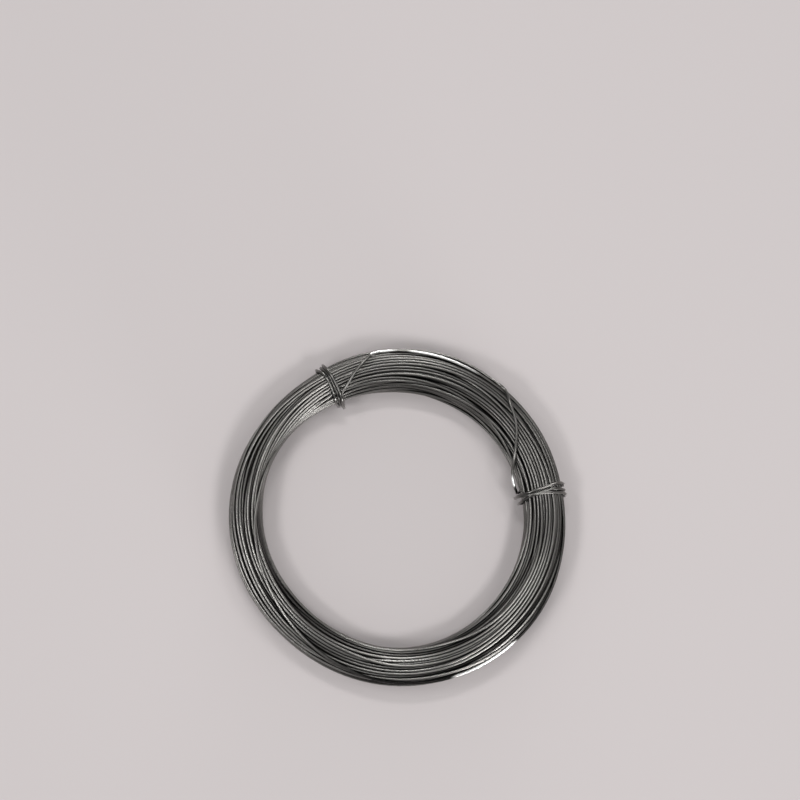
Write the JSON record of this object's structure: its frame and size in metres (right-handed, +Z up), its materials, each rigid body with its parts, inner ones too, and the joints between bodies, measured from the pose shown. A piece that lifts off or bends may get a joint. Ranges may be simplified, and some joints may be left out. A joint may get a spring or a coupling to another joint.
{
  "type": "coil of galvanized binding wire",
  "caption": "Round coil of thin galvanized binding wire, its turns bound by the wire's own ends wrapped round the bundle.",
  "frame": {"origin": "on the axis of the bore, at the floor that the coil lies on", "axes": "+Z up along the axis of the bore; +X towards the right-hand tie, which lies about nine degrees round from it"},
  "size_m": [0.1065, 0.1061, 0.017],
  "materials": {
    "galvanized_wire": "dull satin zinc with fine drawn streaks along the wire"
  },
  "bodies": {
    "root": {"wire_turns": "galvanized_wire", "start_end_tie": "galvanized_wire", "finish_end_tie": "galvanized_wire"}
  },
  "joints": []
}
